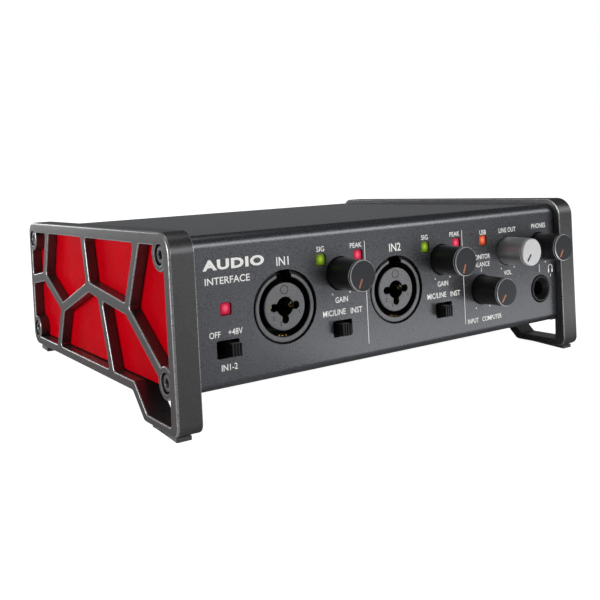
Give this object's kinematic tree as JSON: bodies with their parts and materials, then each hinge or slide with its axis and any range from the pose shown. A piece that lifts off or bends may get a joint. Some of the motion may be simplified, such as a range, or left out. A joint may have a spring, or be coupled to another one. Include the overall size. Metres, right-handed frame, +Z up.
{
  "type": "audio interface",
  "caption": "Desktop audio interface: sheet-metal case leaned back between cast side frames with a web over red plates; combo inputs, rotary controls, slide switches, jacks.",
  "frame": {"origin": "centre of the rectangle that the object's box covers on the surface it stands on, at the height of that surface", "axes": "+X to the object's right seen from its front, +Y from the controls towards the back, +Z up; the case leans back by 3.4 degrees about X"},
  "size_m": [0.186, 0.1614, 0.0636],
  "materials": {
    "case_paint": "fine satin metallic paint, dark blue-grey",
    "frame_casting": "satin cast, grey paint with a soft sheen",
    "red_plate": "deep glossy red",
    "screw_steel": "blackened steel, semi-gloss",
    "foot_rubber": "grey matte rubber",
    "knob_black": "black satin plastic",
    "knob_silver": "silver satin metal",
    "cap_graphite": "graphite satin disc with a thin bright rim and a coloured pointer",
    "cap_silver": "fine-grained silver disc with a dark pointer",
    "black_plastic": "black moulded plastic",
    "jack_face": "dark grey moulded plastic",
    "light_red": "lit red lens",
    "light_green": "lit green lens",
    "light_orange": "lit orange lens",
    "circuit_board": "green solder mask over a fibre board",
    "tin": "tinned sheet steel"
  },
  "bodies": {
    "chassis": {"board_link": "black_plastic", "bottom_plate": "case_paint", "case_shell": "case_paint", "combo_housing_in_1": "jack_face", "combo_housing_in_2": "jack_face", "combo_insert_in_1": "jack_face", "combo_insert_in_2": "jack_face", "control_board": "circuit_board", "foot_front_left": "foot_rubber", "foot_front_right": "foot_rubber", "foot_rear_left": "foot_rubber", "foot_rear_right": "foot_rubber", "light_peak_1": "light_red", "light_peak_2": "light_red", "light_phantom": "light_red", "light_signal_1": "light_green", "light_signal_2": "light_green", "light_usb": "light_orange", "line_out_jack_1": "black_plastic", "line_out_jack_2": "black_plastic", "main_board": "circuit_board", "midi_socket_1": "black_plastic", "midi_socket_2": "black_plastic", "phones_jack": "black_plastic", "potentiometer_balance": "tin", "potentiometer_gain_1": "tin", "potentiometer_gain_2": "tin", "potentiometer_line_out": "tin", "potentiometer_phones": "tin", "power_socket": "tin", "rear_panel": "case_paint", "screw_left_1": "screw_steel", "screw_left_2": "screw_steel", "screw_left_3": "screw_steel", "screw_left_4": "screw_steel", "screw_right_1": "screw_steel", "screw_right_2": "screw_steel", "screw_right_3": "screw_steel", "screw_right_4": "screw_steel", "side_frame_left": "frame_casting", "side_frame_right": "frame_casting", "side_plate_left": "red_plate", "side_plate_right": "red_plate", "switch_body_input_1": "black_plastic", "switch_body_input_2": "black_plastic", "switch_body_phantom": "black_plastic", "usb_socket": "tin"},
    "gain_1_control": {"knob_gain_1": "knob_black", "cap_gain_1": "cap_graphite"},
    "gain_2_control": {"knob_gain_2": "knob_black", "cap_gain_2": "cap_graphite"},
    "line_out_control": {"knob_line_out": "knob_silver", "cap_line_out": "cap_silver"},
    "phones_control": {"knob_phones": "knob_black", "cap_phones": "cap_graphite"},
    "balance_control": {"knob_balance": "knob_black", "cap_balance": "cap_graphite"},
    "phantom_slider": {"switch_lever_phantom": "knob_black"},
    "input_1_slider": {"switch_lever_input_1": "knob_black"},
    "input_2_slider": {"switch_lever_input_2": "knob_black"}
  },
  "joints": [
    {"name": "gain_1_turn", "type": "hinge", "parent": "chassis", "child": "gain_1_control", "pos_m": [-0.0279, -0.06685, 0.04462], "axis": [0, 0.9982, -0.0596], "range_deg": [0, 300]},
    {"name": "gain_2_turn", "type": "hinge", "parent": "chassis", "child": "gain_2_control", "pos_m": [0.0197, -0.06685, 0.04462], "axis": [0, 0.9982, -0.0596], "range_deg": [0, 300]},
    {"name": "line_out_turn", "type": "hinge", "parent": "chassis", "child": "line_out_control", "pos_m": [0.0554, -0.06684, 0.04472], "axis": [0, 0.9982, -0.0596], "range_deg": [0, 300]},
    {"name": "phones_turn", "type": "hinge", "parent": "chassis", "child": "phones_control", "pos_m": [0.0744, -0.06684, 0.04482], "axis": [0, 0.9982, -0.0596], "range_deg": [0, 300]},
    {"name": "balance_turn", "type": "hinge", "parent": "chassis", "child": "balance_control", "pos_m": [0.0404, -0.06767, 0.03085], "axis": [0, 0.9982, -0.0596], "range_deg": [0, 300]},
    {"name": "phantom_slide", "type": "slide", "parent": "chassis", "child": "phantom_slider", "axis": [1, 0, 0], "range_m": [-0.0021, 0]},
    {"name": "input_1_slide", "type": "slide", "parent": "chassis", "child": "input_1_slider", "axis": [1, 0, 0], "range_m": [0, 0.0021]},
    {"name": "input_2_slide", "type": "slide", "parent": "chassis", "child": "input_2_slider", "axis": [1, 0, 0], "range_m": [0, 0.0021]}
  ]
}
